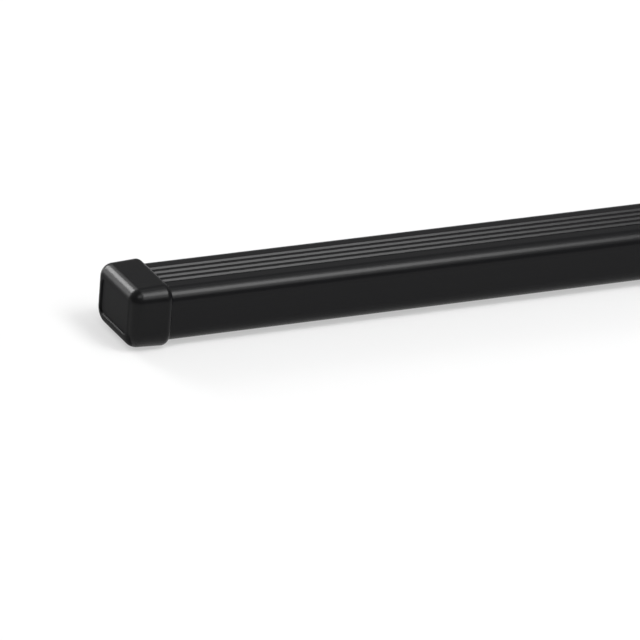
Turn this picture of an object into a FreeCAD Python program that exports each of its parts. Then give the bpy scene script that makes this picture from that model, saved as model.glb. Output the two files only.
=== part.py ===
import FreeCAD, Part
import math
import os
import Sketcher
from FreeCAD import Placement, Rotation, Vector

# Roof rack crossbar of rectangular section: a steel tube inside an extruded plastic cover, with a
# moulded cap pushed onto each end.
#
# Frame: +X runs along the bar, +Z points up out of the grooved top, and the origin is at the middle
# of the bar, on the centre of its section. All sizes are in millimetres and degrees.

# The driving sizes, one cell each: name, value, what it is.
SIZES = (
    ("bar_length", 1180, "steel tube and cover, end to end"),
    ("tube_width", 30, "outside of the steel tube, front to back"),
    ("tube_height", 20, "outside of the steel tube, bottom to top"),
    ("tube_wall", 2, "thickness of the steel"),
    ("tube_corner", 4, "outside corner radius of the steel tube"),
    ("cover_wall", 1, "thickness of the plastic cover on the flats"),
    ("cover_top_corner", 5.4, "corner radius along the top of the cover"),
    ("cover_bottom_corner", 5.9, "corner radius along the underside of the cover"),
    ("groove_count", 4, "grooves along the top"),
    ("groove_pitch", 3.9, "from one groove to the next"),
    ("groove_width", 3, "mouth of a groove"),
    ("groove_depth", 0.6, "depth of a groove"),
    ("groove_slope", 42, "slope of a groove's sides, from the flat top"),
    ("cap_overlap", 14, "length of bar inside a cap's skirt"),
    ("cap_end_wall", 3.1, "thickness of a cap's end wall"),
    ("cap_proud", 2, "how far a cap's skirt stands out from the cover, at the rim"),
    ("cap_top_corner", 6.2, "corner radius along the top of a cap, at the rim"),
    ("cap_bottom_corner", 8, "corner radius along the underside of a cap, at the rim"),
    ("cap_draft", 2.7, "draft of a cap's sides, so that they draw in from rim to end"),
    ("cap_rim_round", 2.6, "radius on the rim's outer edge"),
    ("cap_end_round", 5, "radius on the end's outer edge"),
    ("cap_fit", 0.2, "clearance between the skirt and the cover"),
    ("panel_margin", 0.3, "flat border round the recessed panel on a cap's end"),
    ("panel_corner", 2.2, "corner radius of the recessed panel"),
    ("panel_depth", 0.5, "depth of the recessed panel"),
    ("panel_bevel", 0.42, "bevel round the mouth of the recessed panel"),
    ("seat_margin", 1, "from a cap's rim to the start of the clear span"),
    ("spigot_length", 28, "length of the plug inside the tube"),
    ("spigot_gap", 1.9, "from the plug's core to the tube's bore"),
    ("spigot_corner", 1.2, "outside corner radius of the plug's core"),
    ("spigot_wall", 1.8, "thickness of the hollow plug"),
    ("spigot_lead", 1.2, "chamfer on the plug's tip"),
    ("fin_count", 4, "gripping fins round the plug"),
    ("fin_start", 4.5, "from the end of the tube to the first fin"),
    ("fin_pitch", 5.5, "from one fin to the next"),
    ("fin_length", 2, "length of a fin along the bar"),
    ("fin_lead", 1.4, "chamfer on a fin's leading edge"),
    ("fin_fit", 0.15, "clearance between a fin and the tube's bore"),
)

# Sizes that follow from the driving ones, as expressions on the sheet.
BAR_WIDTH = "(sizes.tube_width + 2 * sizes.cover_wall)"
BAR_HEIGHT = "(sizes.tube_height + 2 * sizes.cover_wall)"
BORE_WIDTH = "(sizes.tube_width - 2 * sizes.tube_wall)"
BORE_HEIGHT = "(sizes.tube_height - 2 * sizes.tube_wall)"
BORE_CORNER = "(sizes.tube_corner - sizes.tube_wall)"
CLEAR_SPAN = "(sizes.bar_length - 2 * (sizes.cap_overlap + sizes.seat_margin))"
COVERED_LENGTH = "(sizes.cap_overlap + sizes.seat_margin)"
CAP_LENGTH = "(sizes.cap_overlap + sizes.cap_end_wall)"
CAP_DRAW = "(%s * tan(sizes.cap_draft * 1deg))" % CAP_LENGTH

# Two places this close together are the same.
NEAR = 1e-4


def make_sheet(document):
    """The spreadsheet that holds the driving sizes."""
    sheet = document.addObject("Spreadsheet::Sheet", "sizes")
    for row, (name, value, meaning) in enumerate(SIZES, start=1):
        sheet.set("A%d" % row, name)
        sheet.set("B%d" % row, str(value))
        sheet.set("C%d" % row, meaning)
        sheet.setAlias("B%d" % row, name)
    document.recompute()
    return sheet


def new_body(document, name):
    """An empty body with the label that names its piece."""
    body = document.addObject("PartDesign::Body", name)
    body.Label = name
    return body


def new_sketch(body, name, along="0"):
    """A sketch across the bar, moved by the expression along, in the direction of +X."""
    sketch = body.newObject("Sketcher::SketchObject", name)
    across = [plane for plane in body.Origin.OriginFeatures if plane.Role == "YZ_Plane"]
    sketch.AttachmentSupport = [(across[0], "")]
    sketch.MapMode = "FlatFace"
    sketch.setExpression("AttachmentOffset.Base.z", along)
    return sketch


def set_size(sketch, constraint, name, expression):
    """Adds a dimension to a sketch and ties it to the sheet."""
    index = sketch.addConstraint(constraint)
    sketch.renameConstraint(index, name)
    sketch.setExpression("Constraints." + name, expression)


def add_section(sketch, name, width, height, top_corner, bottom_corner):
    """A closed loop centred on the bar's axis: four flat sides joined by tangent corner arcs."""
    side = sketch.evalExpression(width) / 2
    rise = sketch.evalExpression(height) / 2
    top = sketch.evalExpression(top_corner)
    bottom = sketch.evalExpression(bottom_corner)
    quarter = math.pi / 2

    def line(x0, y0, x1, y1):
        return sketch.addGeometry(Part.LineSegment(Vector(x0, y0, 0), Vector(x1, y1, 0)))

    def corner(x, y, radius, turn):
        circle = Part.Circle(Vector(x, y, 0), Vector(0, 0, 1), radius)
        return sketch.addGeometry(Part.ArcOfCircle(circle, turn * quarter, (turn + 1) * quarter))

    back = line(side, bottom - rise, side, rise - top)
    back_top = corner(side - top, rise - top, top, 0)
    top_side = line(side - top, rise, top - side, rise)
    front_top = corner(top - side, rise - top, top, 1)
    front = line(-side, rise - top, -side, bottom - rise)
    front_bottom = corner(bottom - side, bottom - rise, bottom, 2)
    under_side = line(bottom - side, -rise, side - bottom, -rise)
    back_bottom = corner(side - bottom, bottom - rise, bottom, 3)

    loop = (back, back_top, top_side, front_top, front, front_bottom, under_side, back_bottom)
    for piece, following in zip(loop, loop[1:] + loop[:1]):
        sketch.addConstraint(Sketcher.Constraint("Tangent", piece, 2, following, 1))
    sketch.addConstraint(Sketcher.Constraint("Vertical", back))
    sketch.addConstraint(Sketcher.Constraint("Vertical", front))
    sketch.addConstraint(Sketcher.Constraint("Horizontal", under_side))
    sketch.addConstraint(Sketcher.Constraint("Symmetric", top_side, 1, top_side, 2, -2))
    sketch.addConstraint(Sketcher.Constraint("Equal", back_top, front_top))
    sketch.addConstraint(Sketcher.Constraint("Equal", back_bottom, front_bottom))

    set_size(sketch, Sketcher.Constraint("DistanceX", front, 1, back, 2, 2 * side),
             name + "_width", width)
    set_size(sketch, Sketcher.Constraint("DistanceY", -1, 1, top_side, 1, rise),
             name + "_above", "(%s) / 2" % height)
    set_size(sketch, Sketcher.Constraint("DistanceY", under_side, 1, -1, 1, rise),
             name + "_below", "(%s) / 2" % height)
    set_size(sketch, Sketcher.Constraint("Radius", back_top, top), name + "_top_corner", top_corner)
    set_size(sketch, Sketcher.Constraint("Radius", back_bottom, bottom),
             name + "_bottom_corner", bottom_corner)


def section_sketch(body, name, width, height, top_corner, bottom_corner, along="0"):
    """A sketch that holds one section."""
    sketch = new_sketch(body, name, along)
    add_section(sketch, "section", width, height, top_corner, bottom_corner)
    return sketch


def pad(body, name, sketch, length, symmetric=False):
    """Adds the sketch's section over a length, towards +X or both ways from the sketch."""
    feature = body.newObject("PartDesign::Pad", name)
    feature.Profile = sketch
    if symmetric:
        feature.SideType = "Symmetric"
    feature.setExpression("Length", length)
    return feature


def pocket(body, name, sketch, length, reverse=False):
    """Cuts the sketch's section over a length, towards -X, or towards +X in reverse."""
    feature = body.newObject("PartDesign::Pocket", name)
    feature.Profile = sketch
    feature.Reversed = reverse
    feature.setExpression("Length", length)
    return feature


def row_of(body, name, feature, direction, count, pitch):
    """Repeats a feature in a row."""
    pattern = body.newObject("PartDesign::LinearPattern", name)
    pattern.Originals = [feature]
    pattern.Direction = direction
    pattern.Mode = "Spacing"
    pattern.setExpression("Offset", pitch)
    pattern.setExpression("Occurrences", count)
    body.Tip = pattern
    return pattern


def edges_at(feature, x, width=0, height=0, inside=False):
    """Names of the feature's edges across the bar at x, outside a centred box or inside it."""
    names = []
    for index, edge in enumerate(feature.Shape.Edges, start=1):
        extent = edge.BoundBox
        middle = edge.valueAt((edge.FirstParameter + edge.LastParameter) / 2)
        boxed = abs(middle.y) < width / 2 + NEAR and abs(middle.z) < height / 2 + NEAR
        if abs(extent.XMin - x) < NEAR and abs(extent.XMax - x) < NEAR and boxed == inside:
            names.append("Edge%d" % index)
    return names


def faces_along(feature):
    """Names of the feature's faces that run along the bar."""
    names = []
    for index, face in enumerate(feature.Shape.Faces, start=1):
        if face.BoundBox.XLength > NEAR:
            names.append("Face%d" % index)
    return names


def face_at(feature, x):
    """Name of the feature's flat face across the bar at x."""
    for index, face in enumerate(feature.Shape.Faces, start=1):
        if face.BoundBox.XLength < NEAR and abs(face.CenterOfMass.x - x) < NEAR:
            return "Face%d" % index
    raise RuntimeError("%s has no flat face at %g" % (feature.Name, x))


def make_tube(document):
    """The steel tube: one hollow section over the whole length."""
    body = new_body(document, "steel_tube")
    sketch = new_sketch(body, "tube_section")
    add_section(sketch, "outside", "sizes.tube_width", "sizes.tube_height",
                "sizes.tube_corner", "sizes.tube_corner")
    add_section(sketch, "bore", BORE_WIDTH, BORE_HEIGHT, BORE_CORNER, BORE_CORNER)
    pad(body, "tube_wall", sketch, "sizes.bar_length", symmetric=True)
    document.recompute()
    return body


def cover_sketch(body, name, along="0"):
    """The cover's section, hollow where the tube runs, before its grooves are cut."""
    sketch = new_sketch(body, name, along)
    add_section(sketch, "outside", BAR_WIDTH, BAR_HEIGHT,
                "sizes.cover_top_corner", "sizes.cover_bottom_corner")
    add_section(sketch, "inside", "sizes.tube_width", "sizes.tube_height",
                "sizes.tube_corner", "sizes.tube_corner")
    return sketch


def groove_sketch(body):
    """The first groove's section: a mouth in the top face, and sides that slope in to a floor."""
    sketch = new_sketch(body, "groove_section")
    sketch.setExpression("AttachmentOffset.Base.x",
                         "-(sizes.groove_count - 1) / 2 * sizes.groove_pitch")
    sketch.setExpression("AttachmentOffset.Base.y", BAR_HEIGHT + " / 2")
    floor_width = "sizes.groove_width - 2 * sizes.groove_depth / tan(sizes.groove_slope * 1deg)"
    mouth = sketch.evalExpression("sizes.groove_width") / 2
    floor = sketch.evalExpression(floor_width) / 2
    depth = sketch.evalExpression("sizes.groove_depth")

    corners = (Vector(-mouth, 0, 0), Vector(-floor, -depth, 0),
               Vector(floor, -depth, 0), Vector(mouth, 0, 0))
    sides = []
    for start, end in zip(corners, corners[1:] + corners[:1]):
        sides.append(sketch.addGeometry(Part.LineSegment(start, end)))
    for side, following in zip(sides, sides[1:] + sides[:1]):
        sketch.addConstraint(Sketcher.Constraint("Coincident", side, 2, following, 1))
    floor_line = sides[1]
    mouth_line = sides[3]
    for level in (floor_line, mouth_line):
        sketch.addConstraint(Sketcher.Constraint("Symmetric", level, 1, level, 2, -2))
    sketch.addConstraint(Sketcher.Constraint("PointOnObject", mouth_line, 1, -1))

    set_size(sketch, Sketcher.Constraint("DistanceX", mouth_line, 2, mouth_line, 1, 2 * mouth),
             "mouth_width", "sizes.groove_width")
    set_size(sketch, Sketcher.Constraint("DistanceX", floor_line, 1, floor_line, 2, 2 * floor),
             "floor_width", floor_width)
    set_size(sketch, Sketcher.Constraint("DistanceY", floor_line, 1, mouth_line, 2, depth),
             "depth", "sizes.groove_depth")
    return sketch


def make_cover(document):
    """The plastic cover, with its grooves.

    The clear span between the caps is a length of its own, so that its top lands and its underside
    are separate faces from the ones inside the caps.
    """
    body = new_body(document, "plastic_cover")
    span = pad(body, "clear_span", cover_sketch(body, "span_section"), CLEAR_SPAN, symmetric=True)
    left = pad(body, "covered_left", cover_sketch(body, "left_section", "-sizes.bar_length / 2"),
               COVERED_LENGTH)
    right = pad(body, "covered_right",
                cover_sketch(body, "right_section", CLEAR_SPAN + " / 2"), COVERED_LENGTH)
    sketch = groove_sketch(body)
    groove = body.newObject("PartDesign::Pocket", "groove")
    groove.Profile = sketch
    groove.SideType = "Symmetric"
    groove.setExpression("Length", "sizes.bar_length")
    document.recompute()
    grooves = row_of(body, "grooves", groove, (sketch, ["H_Axis"]),
                     "sizes.groove_count", "sizes.groove_pitch")
    for feature in (span, left, right, groove, grooves):
        feature.Refine = False
    document.recompute()
    return body


def cap_section(body, name, proud, top_corner, bottom_corner, along):
    """A section of the cap that stands out from the cover by the expression proud."""
    return section_sketch(body, name,
                          "%s + 2 * (%s)" % (BAR_WIDTH, proud),
                          "%s + 2 * (%s)" % (BAR_HEIGHT, proud),
                          top_corner, bottom_corner, along)


def plug_section(body, name, gap, corner, along="0"):
    """A section of the plug that stays clear of the tube's bore by the expression gap."""
    return section_sketch(body, name,
                          "%s - 2 * (%s)" % (BORE_WIDTH, gap),
                          "%s - 2 * (%s)" % (BORE_HEIGHT, gap), corner, corner, along)


def round_edges(document, body, name, feature, x, radius):
    """Rounds the feature's edges at x."""
    document.recompute()
    rounding = body.newObject("PartDesign::Fillet", name)
    rounding.Base = (feature, edges_at(feature, x))
    rounding.setExpression("Radius", radius)
    return rounding


def bevel_edges(document, body, name, feature, edges, size):
    """Chamfers the feature's named edges."""
    document.recompute()
    bevel = body.newObject("PartDesign::Chamfer", name)
    bevel.Base = (feature, edges)
    bevel.setExpression("Size", size)
    document.recompute()


def make_block(document, body):
    """The outside of a cap: a block, drafted from its rim to its end and rounded at both."""
    rim_x = body.evalExpression("sizes.cap_overlap")
    end_x = body.evalExpression("-sizes.cap_end_wall")
    outline = cap_section(body, "block_section", "sizes.cap_proud", "sizes.cap_top_corner",
                          "sizes.cap_bottom_corner", "-sizes.cap_end_wall")
    block = pad(body, "block", outline, CAP_LENGTH)
    document.recompute()
    drafted = body.newObject("PartDesign::Draft", "draft")
    drafted.Base = (block, faces_along(block))
    drafted.NeutralPlane = (block, [face_at(block, rim_x)])
    drafted.Reversed = True
    drafted.setExpression("Angle", "sizes.cap_draft")
    document.recompute()
    # A draft takes its faces up on its second pass.
    drafted.touch()
    rounded_rim = round_edges(document, body, "rim_round", drafted, rim_x, "sizes.cap_rim_round")
    round_edges(document, body, "end_round", rounded_rim, end_x, "sizes.cap_end_round")


def make_panel(document, body):
    """The bare recessed panel in a cap's end, bevelled round its mouth."""
    border = "(sizes.cap_end_round + sizes.panel_margin + %s - sizes.cap_proud)" % CAP_DRAW
    sketch = section_sketch(body, "panel_section",
                            "%s - 2 * %s" % (BAR_WIDTH, border),
                            "%s - 2 * %s" % (BAR_HEIGHT, border),
                            "sizes.panel_corner", "sizes.panel_corner", "-sizes.cap_end_wall")
    recess = pocket(body, "panel", sketch, "sizes.panel_depth", reverse=True)
    document.recompute()
    end_x = body.evalExpression("-sizes.cap_end_wall")
    width = sketch.getDatum("section_width").Value
    height = 2 * sketch.getDatum("section_above").Value
    mouth = edges_at(recess, end_x, width, height, inside=True)
    bevel_edges(document, body, "panel_bevel", recess, mouth, "sizes.panel_bevel")


def make_plug(document, body):
    """The hollow plug in the middle of a cap's seat, with a row of fins that grip the bore."""
    core = pad(body, "plug", plug_section(body, "plug_outside", "sizes.spigot_gap",
                                          "sizes.spigot_corner"), "sizes.spigot_length")
    document.recompute()
    tip_x = body.evalExpression("sizes.spigot_length")
    bevel_edges(document, body, "plug_lead", core, edges_at(core, tip_x), "sizes.spigot_lead")

    ring = plug_section(body, "fin_section", "sizes.fin_fit", BORE_CORNER + " - sizes.fin_fit",
                        "sizes.fin_start")
    fin = pad(body, "fin", ring, "sizes.fin_length")
    document.recompute()
    fins = row_of(body, "fins", fin, (ring, ["N_Axis"]), "sizes.fin_count", "sizes.fin_pitch")
    document.recompute()
    core_width = body.evalExpression("%s - 2 * sizes.spigot_gap" % BORE_WIDTH)
    core_height = body.evalExpression("%s - 2 * sizes.spigot_gap" % BORE_HEIGHT)
    leading = []
    for number in range(int(body.evalExpression("sizes.fin_count"))):
        front = body.evalExpression("sizes.fin_start + sizes.fin_length + %d * sizes.fin_pitch"
                                    % number)
        leading += edges_at(fins, front, core_width, core_height)
    bevel_edges(document, body, "fin_lead", fins, leading, "sizes.fin_lead")

    hollow = plug_section(body, "plug_inside", "sizes.spigot_gap + sizes.spigot_wall",
                          "sizes.spigot_corner / 2", "sizes.spigot_length")
    pocket(body, "plug_hollow", hollow, "sizes.spigot_length")


def make_cap(document, name):
    """One end cap, in its own frame: the bar starts at x = 0 and runs towards +X.

    The bar's seat is cut into a rounded block, then the panel in its end, and the hollow plug
    stands in the middle of the seat.
    """
    body = new_body(document, name)
    make_block(document, body)
    seat = cap_section(body, "seat_section", "sizes.cap_fit",
                       "sizes.cover_top_corner + sizes.cap_fit",
                       "sizes.cover_bottom_corner + sizes.cap_fit", "sizes.cap_overlap")
    pocket(body, "seat", seat, "sizes.cap_overlap")
    make_panel(document, body)
    make_plug(document, body)
    document.recompute()
    return body


def place_caps(left, right):
    """Sets the two caps on the ends of the bar, the right one turned half round."""
    left.setExpression("Placement.Base.x", "-sizes.bar_length / 2")
    right.Placement = Placement(Vector(0, 0, 0), Rotation(Vector(0, 0, 1), 180))
    right.setExpression("Placement.Base.x", "sizes.bar_length / 2")


def check(document, bodies):
    """Stops if any feature failed or any piece isn't one sound solid."""
    for item in document.Objects:
        if "Invalid" in item.State or "Error" in item.State:
            raise RuntimeError("%s did not build: %s" % (item.Name, item.State))
    for body in bodies:
        if body.Shape.isNull() or not body.Shape.isValid() or len(body.Shape.Solids) != 1:
            raise RuntimeError("%s is not one valid solid" % body.Label)


def main():
    document = FreeCAD.newDocument("roof_rack_crossbar")
    make_sheet(document)
    tube = make_tube(document)
    cover = make_cover(document)
    left = make_cap(document, "end_cap_left")
    right = make_cap(document, "end_cap_right")
    place_caps(left, right)
    document.recompute()
    bodies = (tube, cover, left, right)
    check(document, bodies)
    os.makedirs("parts", exist_ok=True)
    for body in bodies:
        body.Shape.exportStep("parts/%s.step" % body.Label)
        print("%s: %.1f mm3" % (body.Label, body.Shape.Volume))


main()
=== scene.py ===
import math

import bpy
from mathutils import Matrix, Vector


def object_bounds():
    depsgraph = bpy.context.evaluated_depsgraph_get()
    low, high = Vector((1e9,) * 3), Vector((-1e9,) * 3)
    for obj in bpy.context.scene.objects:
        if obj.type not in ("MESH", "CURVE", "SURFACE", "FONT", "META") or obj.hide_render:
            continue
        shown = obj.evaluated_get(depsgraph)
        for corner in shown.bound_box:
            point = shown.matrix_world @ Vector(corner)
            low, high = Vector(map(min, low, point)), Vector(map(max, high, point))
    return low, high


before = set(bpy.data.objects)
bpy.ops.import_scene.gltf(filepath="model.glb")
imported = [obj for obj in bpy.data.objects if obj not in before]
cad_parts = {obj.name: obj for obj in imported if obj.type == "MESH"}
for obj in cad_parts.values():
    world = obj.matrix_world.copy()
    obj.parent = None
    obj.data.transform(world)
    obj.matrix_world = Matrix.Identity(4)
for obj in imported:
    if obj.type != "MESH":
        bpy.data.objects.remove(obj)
cad_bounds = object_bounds()

MM = 0.001
WHITE = "#ffffff"

# Where the picture is taken from: the left cap is near, and the bar runs up to the right.
CAMERA_AZIMUTH = -27.643
CAMERA_ELEVATION = 23.876
CAMERA_ROLL = 4.746
CAMERA_LENS = 358.0
CAMERA_SENSOR = 36
CAMERA_DISTANCE = 2.4303
CAMERA_AIM = Vector((-520.3, -30.8, -1.2)) * MM

# The floor's paint, and what the camera and reflections see on top of it, where 1 is white.
FLOOR_SIDE = 60.0
FLOOR_PAINT = "#a8a8a8"
FLOOR_GLOW = 0.48

# The studio's soft lamps: name, the way to it, width along the bar, height, and brightness. Three
# overhead lie one over another and draw the highlights along the grooves and the front's top
# round, and the fourth carries them round the cap's corner. Those behind draw the bright band on
# the round of the cap's end.
LAMP_DISTANCE = 2.2
LAMP_AIM = Vector((-0.5, 0, 0))
LAMPS = (
    ("overhead", (0.36, -0.40, 0.84), 0.65, 0.9, 9.5),
    ("overhead_wide", (0.30, -0.45, 0.84), 0.9, 2.3, 2.6),
    ("overhead_broad", (0.34, -0.24, 0.91), 1.1, 4.0, 0.8),
    ("overhead_left", (-0.28, -0.46, 0.84), 1.2, 0.6, 4.4),
    ("behind", (-0.28, 0.81, 0.43), 0.65, 0.65, 13.8),
    ("behind_fill", (-0.47, 0.81, 0.22), 1.0, 0.9, 3.4),
    ("behind_high", (-0.10, 0.78, 0.62), 0.9, 0.8, 2.0),
)

# The room's own light, which is a little stronger from above the front.
ROOM_FRONT = (-0.30, -0.40, 0.87)
ROOM_FULL_AT = 0.9
ROOM_LOW = 0.27
ROOM_HIGH = 0.30

# Black plastic's gloss: a satin shine, and the share of it that is a wide haze.
PLASTIC_IOR = 1.5
SATIN_LEVEL = 0.19
SATIN_SMOOTHEST = 0.20
SATIN_ROUGHEST = 0.25
HAZE_ROUGHNESS = 0.52
HAZE_SHARE = 0.3

# How far the cover's draw lines are stretched along the bar.
DRAW_LINE_STRETCH = 1000

# The matt texture on a cap's end, by how squarely a face looks along the bar. A face that looks
# down counts as more square, so that the texture goes round the lower edge.
MATT_LEVEL = 0.07
MATT_ROUGHNESS = 0.55
MATT_FROM = 0.92
MATT_FULL_AT = 0.995
MATT_DOWNWARD_SHARE = 0.6

# The recessed panel on a cap's end: how far in from the end its step reaches, how far its mouth
# lies inside the cap's widest outline, and how far the texture is kept on the step's edge.
PANEL_STEP_DEPTH = 0.7 * MM
PANEL_STEP_INSET = 5.27 * MM
PANEL_STEP_TEXTURE = 0.8

# A face of the steel tube that looks this squarely along the bar is a sawn end.
SAWN_FACING = 0.9

# A wave texture has this many bands to its unit.
WAVE_BANDS = 20 / math.tau


def linear(hex_colour):
    """An sRGB hex colour as the linear RGBA that Blender works in."""
    channels = []
    for start in (1, 3, 5):
        value = int(hex_colour[start:start + 2], 16) / 255
        channels.append(value / 12.92 if value <= 0.04045 else ((value + 0.055) / 1.055) ** 2.4)
    return (*channels, 1.0)


def per_metre(millimetres):
    """The texture scale that repeats a pattern at this real size."""
    return 1 / (millimetres * MM)


def add_node(tree, kind, settings=None, links=None):
    """One shader node: settings set its properties and unlinked sockets, links feed its sockets.

    A socket goes by its name, or by its number where a node's sockets share a name.
    """
    node = tree.nodes.new(kind)
    for name, value in (settings or {}).items():
        if isinstance(name, int) or name in node.inputs:
            node.inputs[name].default_value = value
        else:
            setattr(node, name, value)
    for name, source in (links or {}).items():
        tree.links.new(source, node.inputs[name])
    return node


def new_material(name):
    """An empty node material and its tree."""
    material = bpy.data.materials.new(name)
    material.use_nodes = True
    material.node_tree.nodes.clear()
    return material, material.node_tree


def finish_material(tree, shader):
    """Makes a shader the material's surface."""
    add_node(tree, "ShaderNodeOutputMaterial", links={"Surface": shader})


def satin_with_haze(tree, colour, roughness, normal):
    """Black plastic's gloss: a satin shine with a wide faint haze round it."""
    satin = add_node(tree, "ShaderNodeBsdfPrincipled",
                     {"IOR": PLASTIC_IOR, "Specular IOR Level": SATIN_LEVEL},
                     {"Base Color": colour, "Roughness": roughness, "Normal": normal})
    haze = add_node(tree, "ShaderNodeBsdfPrincipled",
                    {"IOR": PLASTIC_IOR, "Specular IOR Level": SATIN_LEVEL,
                     "Roughness": HAZE_ROUGHNESS},
                    {"Base Color": colour, "Normal": normal})
    both = add_node(tree, "ShaderNodeMixShader", {"Fac": HAZE_SHARE},
                    {1: satin.outputs["BSDF"], 2: haze.outputs["BSDF"]})
    return both.outputs["Shader"]


def extruded_pvc():
    """Black PVC, extruded: satin, with faint draw lines left along the bar by the die."""
    material, tree = new_material("extruded_black_pvc")
    place = add_node(tree, "ShaderNodeTexCoord").outputs["Object"]

    # The die leaves lines that run on along the bar, so the pattern is stretched that way.
    stretched = add_node(tree, "ShaderNodeMapping", {"Scale": (1 / DRAW_LINE_STRETCH, 1.0, 1.0)},
                         {"Vector": place})
    draw_lines = add_node(tree, "ShaderNodeTexNoise", {"Scale": per_metre(0.8), "Detail": 3.0},
                          {"Vector": stretched.outputs["Vector"]})
    grain = add_node(tree, "ShaderNodeTexNoise", {"Scale": per_metre(0.5), "Detail": 2.0},
                     {"Vector": place})

    roughness = add_node(tree, "ShaderNodeMapRange", {"To Min": SATIN_SMOOTHEST, "To Max": SATIN_ROUGHEST},
                         {"Value": draw_lines.outputs["Fac"]})
    colour = add_node(tree, "ShaderNodeValToRGB", links={"Fac": draw_lines.outputs["Fac"]})
    colour.color_ramp.elements[0].color = linear("#060608")
    colour.color_ramp.elements[1].color = linear("#0b0b0d")

    lines_bump = add_node(tree, "ShaderNodeBump", {"Strength": 0.10, "Distance": 0.05 * MM},
                          {"Height": draw_lines.outputs["Fac"]})
    bump = add_node(tree, "ShaderNodeBump", {"Strength": 0.10, "Distance": 0.03 * MM},
                    {"Height": grain.outputs["Fac"], "Normal": lines_bump.outputs["Normal"]})
    finish_material(tree, satin_with_haze(tree, colour.outputs["Color"],
                                          roughness.outputs["Result"], bump.outputs["Normal"]))
    return material


def end_face_mask(tree):
    """1 on a cap's end face and its lower edge, 0 elsewhere."""
    normal = add_node(tree, "ShaderNodeNewGeometry").outputs["Normal"]
    facing = add_node(tree, "ShaderNodeSeparateXYZ", links={"Vector": normal})
    endwise = add_node(tree, "ShaderNodeMath", {"operation": "ABSOLUTE"},
                       {0: facing.outputs["X"]})
    downwards = add_node(tree, "ShaderNodeMath", {"operation": "MINIMUM", 1: 0.0},
                         {0: facing.outputs["Z"]})
    leaning = add_node(tree, "ShaderNodeMath",
                       {"operation": "MULTIPLY_ADD", 1: -MATT_DOWNWARD_SHARE},
                       {0: downwards.outputs["Value"], 2: endwise.outputs["Value"]})
    mask = add_node(tree, "ShaderNodeMapRange",
                    {"interpolation_type": "SMOOTHSTEP", "From Min": MATT_FROM,
                     "From Max": MATT_FULL_AT},
                    {"Value": leaning.outputs["Value"]})
    return mask.outputs["Result"]


def panel_step_mask(tree, place):
    """How far the texture is kept on the step round the recessed panels, 0 elsewhere."""
    # The frame's origin is the bar's middle, so the highest corner holds half of each size.
    end, half_width, half_height = cad_bounds[1]
    from_middle = add_node(tree, "ShaderNodeVectorMath", {"operation": "ABSOLUTE"}, {0: place})
    distance = add_node(tree, "ShaderNodeSeparateXYZ",
                        links={"Vector": from_middle.outputs["Vector"]})
    near_end = add_node(tree, "ShaderNodeMath",
                        {"operation": "GREATER_THAN", 1: end - PANEL_STEP_DEPTH},
                        {0: distance.outputs["X"]})
    in_width = add_node(tree, "ShaderNodeMath",
                        {"operation": "LESS_THAN", 1: half_width - PANEL_STEP_INSET},
                        {0: distance.outputs["Y"]})
    in_height = add_node(tree, "ShaderNodeMath",
                         {"operation": "LESS_THAN", 1: half_height - PANEL_STEP_INSET},
                         {0: distance.outputs["Z"]})
    in_outline = add_node(tree, "ShaderNodeMath", {"operation": "MULTIPLY"},
                          {0: in_width.outputs["Value"], 1: in_height.outputs["Value"]})
    on_step = add_node(tree, "ShaderNodeMath", {"operation": "MULTIPLY"},
                       {0: near_end.outputs["Value"], 1: in_outline.outputs["Value"]})
    kept = add_node(tree, "ShaderNodeMath", {"operation": "MULTIPLY", 1: PANEL_STEP_TEXTURE},
                    {0: on_step.outputs["Value"]})
    return kept.outputs["Value"]


def moulded_polypropylene():
    """Black polypropylene, injection moulded: satin, with a matt texture on the end face."""
    material, tree = new_material("moulded_black_polypropylene")
    place = add_node(tree, "ShaderNodeTexCoord").outputs["Object"]
    grain = add_node(tree, "ShaderNodeTexNoise", {"Scale": per_metre(0.35), "Detail": 3.0},
                     {"Vector": place})
    cloud = add_node(tree, "ShaderNodeTexNoise", {"Scale": per_metre(9.0), "Detail": 2.0},
                     {"Vector": place})
    roughness = add_node(tree, "ShaderNodeMapRange", {"To Min": SATIN_SMOOTHEST, "To Max": SATIN_ROUGHEST},
                         {"Value": cloud.outputs["Fac"]})
    colour = add_node(tree, "ShaderNodeValToRGB", links={"Fac": cloud.outputs["Fac"]})
    colour.color_ramp.elements[0].color = linear("#060608")
    colour.color_ramp.elements[1].color = linear("#0b0b0c")
    bump = add_node(tree, "ShaderNodeBump", {"Strength": 0.12, "Distance": 0.04 * MM},
                    {"Height": grain.outputs["Fac"]})
    satin = satin_with_haze(tree, colour.outputs["Color"], roughness.outputs["Result"],
                            bump.outputs["Normal"])

    # The matt texture is a coarser grain that was eroded into the mould by sparks.
    spark_grain = add_node(tree, "ShaderNodeTexNoise", {"Scale": per_metre(0.5), "Detail": 3.0},
                           {"Vector": place})
    spark_bump = add_node(tree, "ShaderNodeBump", {"Strength": 0.25, "Distance": 0.05 * MM},
                          {"Height": spark_grain.outputs["Fac"]})
    matt = add_node(tree, "ShaderNodeBsdfPrincipled",
                    {"IOR": PLASTIC_IOR, "Specular IOR Level": MATT_LEVEL,
                     "Roughness": MATT_ROUGHNESS},
                    {"Base Color": colour.outputs["Color"],
                     "Normal": spark_bump.outputs["Normal"]})
    textured = add_node(tree, "ShaderNodeMath", {"operation": "MAXIMUM"},
                        {0: end_face_mask(tree), 1: panel_step_mask(tree, place)})
    shader = add_node(tree, "ShaderNodeMixShader",
                      links={0: textured.outputs["Value"], 1: satin, 2: matt.outputs["BSDF"]})
    finish_material(tree, shader.outputs["Shader"])
    return material


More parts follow.
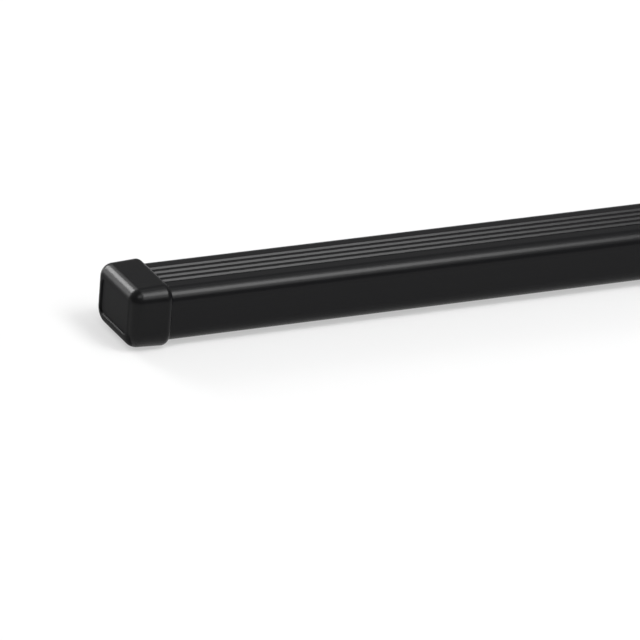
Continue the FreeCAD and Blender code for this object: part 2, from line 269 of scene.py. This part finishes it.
def galvanised_steel():
    """Hot-dip galvanised steel: grey zinc in dull flakes, and bright sawn steel on the cut ends."""
    material, tree = new_material("galvanised_steel")
    place = add_node(tree, "ShaderNodeTexCoord").outputs["Object"]
    spangle = add_node(tree, "ShaderNodeTexVoronoi", {"Scale": per_metre(5.0)}, {"Vector": place})
    flake = add_node(tree, "ShaderNodeSeparateColor", links={"Color": spangle.outputs["Color"]})
    zinc = add_node(tree, "ShaderNodeValToRGB", links={"Fac": flake.outputs["Red"]})
    zinc.color_ramp.elements[0].color = linear("#8d9092")
    zinc.color_ramp.elements[1].color = linear("#b4b8ba")
    zinc_roughness = add_node(tree, "ShaderNodeMapRange", {"To Min": 0.42, "To Max": 0.60},
                              {"Value": flake.outputs["Green"]})

    # Saw marks on the cut ends, across the bar, drawn 1 mm apart so that they show.
    saw = add_node(tree, "ShaderNodeTexWave",
                   {"Scale": per_metre(1.0) / WAVE_BANDS, "Distortion": 1.5,
                    "bands_direction": "Z"},
                   {"Vector": place})
    normal = add_node(tree, "ShaderNodeNewGeometry").outputs["True Normal"]
    facing = add_node(tree, "ShaderNodeSeparateXYZ", links={"Vector": normal})
    endwise = add_node(tree, "ShaderNodeMath", {"operation": "ABSOLUTE"},
                       {0: facing.outputs["X"]})
    sawn = add_node(tree, "ShaderNodeMath", {"operation": "GREATER_THAN", 1: SAWN_FACING},
                    {0: endwise.outputs["Value"]})
    bright = add_node(tree, "ShaderNodeValToRGB", links={"Fac": saw.outputs["Fac"]})
    bright.color_ramp.elements[0].color = linear("#9c9b98")
    bright.color_ramp.elements[1].color = linear("#c9c8c4")
    colour = add_node(tree, "ShaderNodeMix", {"data_type": "RGBA"},
                      {"Factor": sawn.outputs["Value"], "A": zinc.outputs["Color"],
                       "B": bright.outputs["Color"]})
    bump = add_node(tree, "ShaderNodeBump", {"Strength": 0.15, "Distance": 0.05 * MM},
                    {"Height": saw.outputs["Fac"]})
    shader = add_node(tree, "ShaderNodeBsdfPrincipled", {"Metallic": 1.0},
                      {"Base Color": colour.outputs["Result"],
                       "Roughness": zinc_roughness.outputs["Result"],
                       "Normal": bump.outputs["Normal"]})
    finish_material(tree, shader.outputs["BSDF"])
    return material


def set_material(node, material):
    """Gives a CAD node its finish."""
    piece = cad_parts[node]
    piece.data.materials.clear()
    piece.data.materials.append(material)


def place_facing(thing, place, right, up, back):
    """Puts a camera or a lamp at a place with these directions, and adds it to the scene."""
    turn = Matrix((right, up, back)).transposed().to_4x4()
    thing.matrix_world = Matrix.Translation(place) @ turn
    bpy.context.scene.collection.objects.link(thing)


def camera_axes():
    """The camera's right, up and back directions."""
    azimuth = math.radians(CAMERA_AZIMUTH)
    elevation = math.radians(CAMERA_ELEVATION)
    roll = math.radians(CAMERA_ROLL)
    back = Vector((math.sin(azimuth) * math.cos(elevation),
                   -math.cos(azimuth) * math.cos(elevation), math.sin(elevation)))
    level = Vector((math.cos(azimuth), math.sin(azimuth), 0))
    upright = back.cross(level)
    right = math.cos(roll) * level + math.sin(roll) * upright
    up = -math.sin(roll) * level + math.cos(roll) * upright
    return right, up, back


def add_camera():
    """The camera, at the picture's viewing angle."""
    right, up, back = camera_axes()
    data = bpy.data.cameras.new("camera")
    data.lens = CAMERA_LENS
    data.sensor_width = CAMERA_SENSOR
    data.clip_end = 2 * FLOOR_SIDE
    camera = bpy.data.objects.new("camera", data)
    place_facing(camera, CAMERA_AIM + CAMERA_DISTANCE * back, right, up, back)
    bpy.context.scene.camera = camera


def add_lamp(name, direction, width, height, brightness):
    """A soft rectangular lamp that faces the bar's near end, with its width in line with the bar."""
    data = bpy.data.lights.new(name, "AREA")
    data.shape = "RECTANGLE"
    data.size = width
    data.size_y = height
    data.energy = brightness * math.pi * width * height
    light = bpy.data.objects.new(name, data)
    away = Vector(direction).normalized()
    side = (Vector((1, 0, 0)) - away.x * away).normalized()
    place_facing(light, LAMP_AIM + LAMP_DISTANCE * away, side, away.cross(side), away)


def floor_paint():
    """Pale grey paint that the camera and reflections see a little brighter than it is lit.

    So it reads as white round the object and still holds the soft shadow.
    """
    material, tree = new_material("pale_floor")
    paint = add_node(tree, "ShaderNodeBsdfDiffuse", {"Color": linear(FLOOR_PAINT)})
    ray = add_node(tree, "ShaderNodeLightPath")
    seen_or_mirrored = add_node(tree, "ShaderNodeMath", {"operation": "MAXIMUM"},
                                {0: ray.outputs["Is Camera Ray"], 1: ray.outputs["Is Glossy Ray"]})
    seen = add_node(tree, "ShaderNodeMath", {"operation": "MAXIMUM"},
                    {0: seen_or_mirrored.outputs["Value"], 1: ray.outputs["Is Transmission Ray"]})
    glow = add_node(tree, "ShaderNodeMath", {"operation": "MULTIPLY", 1: FLOOR_GLOW},
                    {0: seen.outputs["Value"]})
    lift = add_node(tree, "ShaderNodeEmission", {"Color": linear(WHITE)},
                    {"Strength": glow.outputs["Value"]})
    both = add_node(tree, "ShaderNodeAddShader",
                    links={0: paint.outputs["BSDF"], 1: lift.outputs["Emission"]})
    finish_material(tree, both.outputs["Shader"])
    return material


def add_floor():
    """A plain floor that the caps rest on."""
    half = FLOOR_SIDE / 2
    level = cad_bounds[0].z
    mesh = bpy.data.meshes.new("floor")
    mesh.from_pydata([(-half, -half, level), (half, -half, level), (half, half, level),
                      (-half, half, level)], [], [(0, 1, 2, 3)])
    mesh.materials.append(floor_paint())
    floor = bpy.data.objects.new("floor", mesh)
    bpy.context.scene.collection.objects.link(floor)


def set_world():
    """The white room round the object."""
    world = bpy.data.worlds.new("studio")
    world.use_nodes = True
    tree = world.node_tree
    tree.nodes.clear()
    direction = add_node(tree, "ShaderNodeTexCoord").outputs["Generated"]
    towards_front = add_node(tree, "ShaderNodeVectorMath",
                             {"operation": "DOT_PRODUCT", 1: ROOM_FRONT}, {0: direction})
    strength = add_node(tree, "ShaderNodeMapRange",
                        {"interpolation_type": "SMOOTHSTEP", "From Min": 0.0,
                         "From Max": ROOM_FULL_AT, "To Min": ROOM_LOW, "To Max": ROOM_HIGH},
                        {"Value": towards_front.outputs["Value"]})
    shader = add_node(tree, "ShaderNodeBackground", {"Color": linear(WHITE)},
                      {"Strength": strength.outputs["Result"]})
    add_node(tree, "ShaderNodeOutputWorld", links={"Surface": shader.outputs["Background"]})
    bpy.context.scene.world = world


set_material("steel_tube", galvanised_steel())
set_material("plastic_cover", extruded_pvc())
cap_finish = moulded_polypropylene()
set_material("end_cap_left", cap_finish)
set_material("end_cap_right", cap_finish)

add_floor()
set_world()
for lamp in LAMPS:
    add_lamp(*lamp)
add_camera()

bpy.context.scene.view_settings.view_transform = "Standard"
